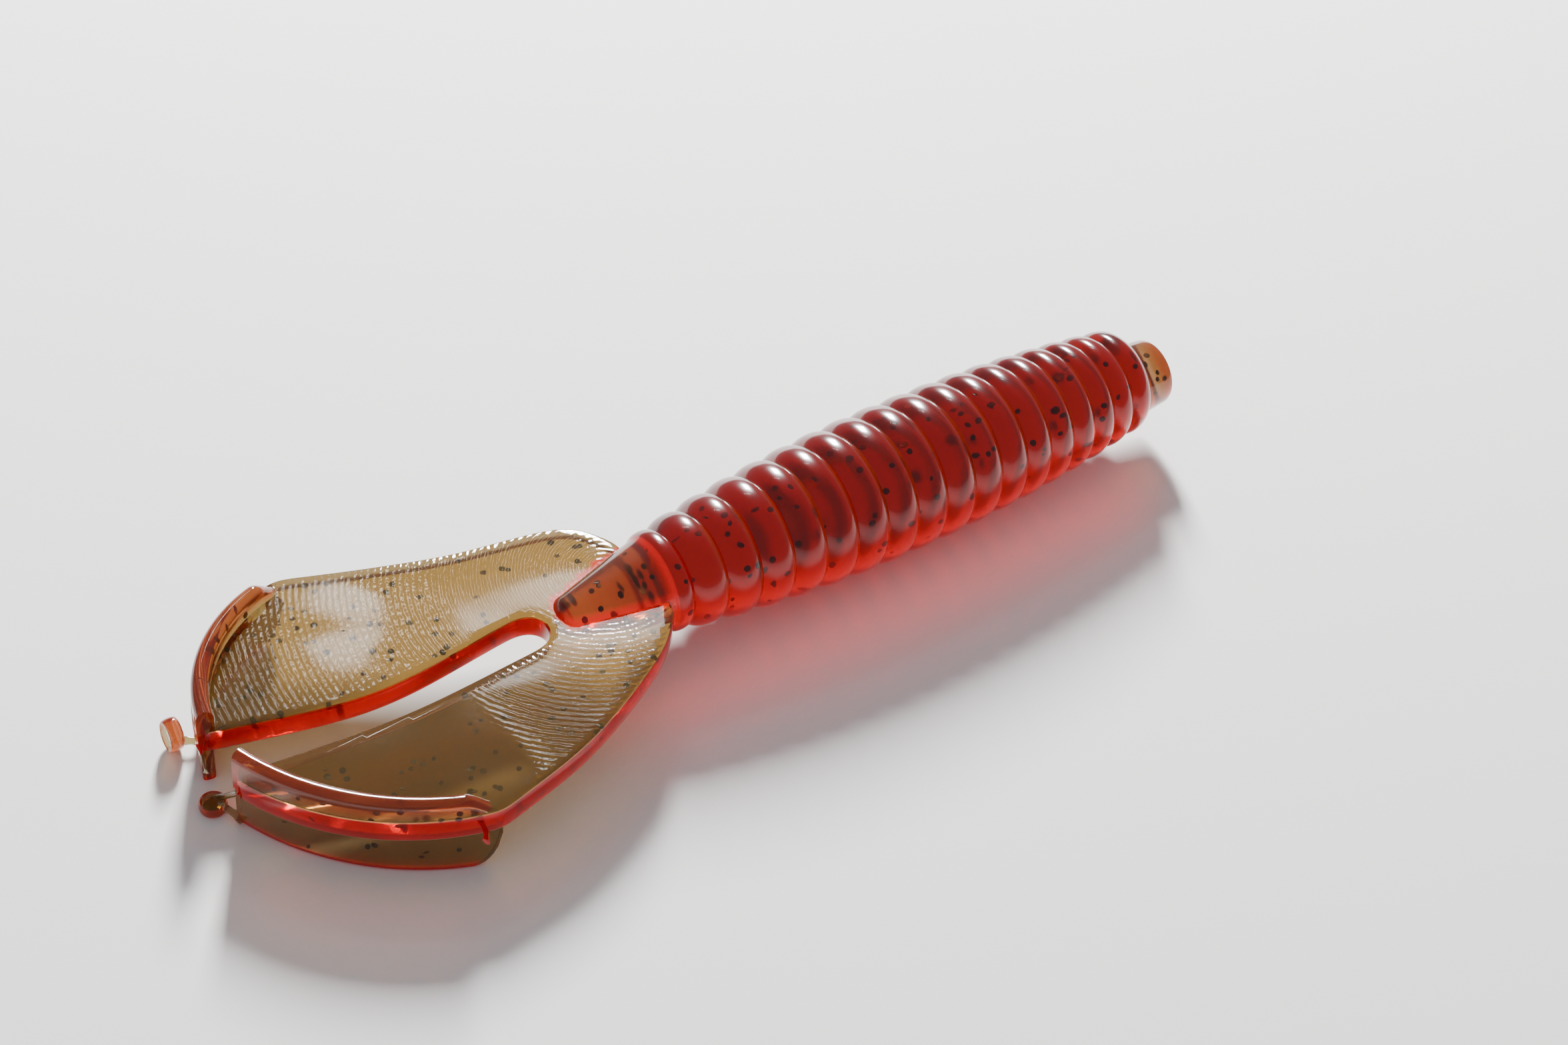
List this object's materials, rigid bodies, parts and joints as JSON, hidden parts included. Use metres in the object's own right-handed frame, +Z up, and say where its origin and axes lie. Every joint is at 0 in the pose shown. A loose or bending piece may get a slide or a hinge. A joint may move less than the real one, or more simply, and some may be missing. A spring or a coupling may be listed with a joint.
{
  "type": "soft plastic fishing worm",
  "caption": "Ribbed soft plastic worm with a tapered round body, a short flat-ended nose stub and two flat paddle tails with upright crescent rims.",
  "frame": {"origin": "middle of the footprint, on the ground that the belly rests on", "axes": "+X towards the nose along the body, +Y to the left, +Z up"},
  "size_m": [0.1016, 0.033, 0.014],
  "materials": {
    "body_plastisol": "glossy translucent amber red with black flakes",
    "tail_plastisol": "glossy translucent amber with black flakes",
    "rim_plastisol": "glossy translucent amber red",
    "gate_plastisol": "translucent amber, cut face matt"
  },
  "bodies": {
    "head": {"nose_stub": "gate_plastisol", "ring_01": "body_plastisol", "ring_02": "body_plastisol", "ring_03": "body_plastisol"},
    "segment_2": {"crease_web_03": "body_plastisol", "ring_04": "body_plastisol", "ring_05": "body_plastisol"},
    "segment_3": {"crease_web_05": "body_plastisol", "ring_06": "body_plastisol", "ring_07": "body_plastisol"},
    "segment_4": {"crease_web_07": "body_plastisol", "ring_08": "body_plastisol", "ring_09": "body_plastisol"},
    "segment_5": {"crease_web_09": "body_plastisol", "ring_10": "body_plastisol", "ring_11": "body_plastisol"},
    "segment_6": {"crease_web_11": "body_plastisol", "ring_12": "body_plastisol", "ring_13": "body_plastisol"},
    "segment_7": {"crease_web_13": "body_plastisol", "ring_14": "body_plastisol", "ring_15": "body_plastisol"},
    "tail_base": {"crease_web_15": "body_plastisol", "ring_16": "body_plastisol", "ring_17": "body_plastisol", "collar": "body_plastisol", "tail_cone": "body_plastisol", "left_tail_root": "tail_plastisol", "right_tail_root": "tail_plastisol"},
    "left_tail_inner": {"left_flap_web": "tail_plastisol", "left_tail_inner_blade": "tail_plastisol"},
    "left_tail_tip": {"left_curl_web": "tail_plastisol", "left_tail_outer_blade": "tail_plastisol", "left_rim_skirt": "rim_plastisol", "left_rim_lip": "rim_plastisol", "left_vent_stub": "rim_plastisol", "left_vent_neck": "rim_plastisol"},
    "right_tail_inner": {"right_flap_web": "tail_plastisol", "right_tail_inner_blade": "tail_plastisol"},
    "right_tail_tip": {"right_curl_web": "tail_plastisol", "right_tail_outer_blade": "tail_plastisol", "right_rim_skirt": "rim_plastisol", "right_rim_lip": "rim_plastisol", "right_vent_stub": "rim_plastisol", "right_vent_neck": "rim_plastisol"}
  },
  "joints": [
    {"name": "front_sway", "type": "hinge", "parent": "head", "child": "segment_2", "pos_m": [0.03889, -0.0011, 0.007], "axis": [0, 0, 1], "range_deg": [-10, 10], "stiffness_Nm_per_rad": 0.03, "deforming": ["crease_web_03"]},
    {"name": "front_arch", "type": "hinge", "parent": "segment_2", "child": "segment_3", "pos_m": [0.03318, -0.0011, 0.007], "axis": [0, 1, 0], "range_deg": [-10, 10], "stiffness_Nm_per_rad": 0.03, "deforming": ["crease_web_05"]},
    {"name": "front_sway_2", "type": "hinge", "parent": "segment_3", "child": "segment_4", "pos_m": [0.02705, -0.0011, 0.007], "axis": [0, 0, 1], "range_deg": [-10, 10], "stiffness_Nm_per_rad": 0.03, "deforming": ["crease_web_07"]},
    {"name": "middle_arch", "type": "hinge", "parent": "segment_4", "child": "segment_5", "pos_m": [0.02051, -0.0011, 0.007], "axis": [0, 1, 0], "range_deg": [-10, 10], "stiffness_Nm_per_rad": 0.03, "deforming": ["crease_web_09"]},
    {"name": "rear_sway", "type": "hinge", "parent": "segment_5", "child": "segment_6", "pos_m": [0.01387, -0.0011, 0.007], "axis": [0, 0, 1], "range_deg": [-10, 10], "stiffness_Nm_per_rad": 0.03, "deforming": ["crease_web_11"]},
    {"name": "rear_arch", "type": "hinge", "parent": "segment_6", "child": "segment_7", "pos_m": [0.00723, -0.0011, 0.007], "axis": [0, 1, 0], "range_deg": [-10, 10], "stiffness_Nm_per_rad": 0.03, "deforming": ["crease_web_13"]},
    {"name": "rear_sway_2", "type": "hinge", "parent": "segment_7", "child": "tail_base", "pos_m": [0.00059, -0.0011, 0.007], "axis": [0, 0, 1], "range_deg": [-10, 10], "stiffness_Nm_per_rad": 0.03, "deforming": ["crease_web_15"]},
    {"name": "left_flap", "type": "hinge", "parent": "tail_base", "child": "left_tail_inner", "pos_m": [-0.02275, 0.00581, 0.00643], "axis": [0, 1, 0], "range_deg": [-35, 35], "stiffness_Nm_per_rad": 0.004, "deforming": ["left_flap_web"]},
    {"name": "left_curl", "type": "hinge", "parent": "left_tail_inner", "child": "left_tail_tip", "pos_m": [-0.02835, 0.00682, 0.00605], "axis": [0, 1, 0], "range_deg": [-40, 40], "stiffness_Nm_per_rad": 0.002, "deforming": ["left_curl_web"]},
    {"name": "right_flap", "type": "hinge", "parent": "tail_base", "child": "right_tail_inner", "pos_m": [-0.02275, -0.0089, 0.00643], "axis": [0, 1, 0], "range_deg": [-35, 35], "stiffness_Nm_per_rad": 0.004, "deforming": ["right_flap_web"]},
    {"name": "right_curl", "type": "hinge", "parent": "right_tail_inner", "child": "right_tail_tip", "pos_m": [-0.02835, -0.00963, 0.00605], "axis": [0, 1, 0], "range_deg": [-40, 40], "stiffness_Nm_per_rad": 0.002, "deforming": ["right_curl_web"]}
  ],
  "couplings": [
    {"joint": "front_sway_2", "follows": "front_sway", "ratio": 1},
    {"joint": "rear_sway_2", "follows": "rear_sway", "ratio": 1},
    {"joint": "middle_arch", "follows": "front_arch", "ratio": 1},
    {"joint": "rear_arch", "follows": "front_arch", "ratio": 1}
  ]
}
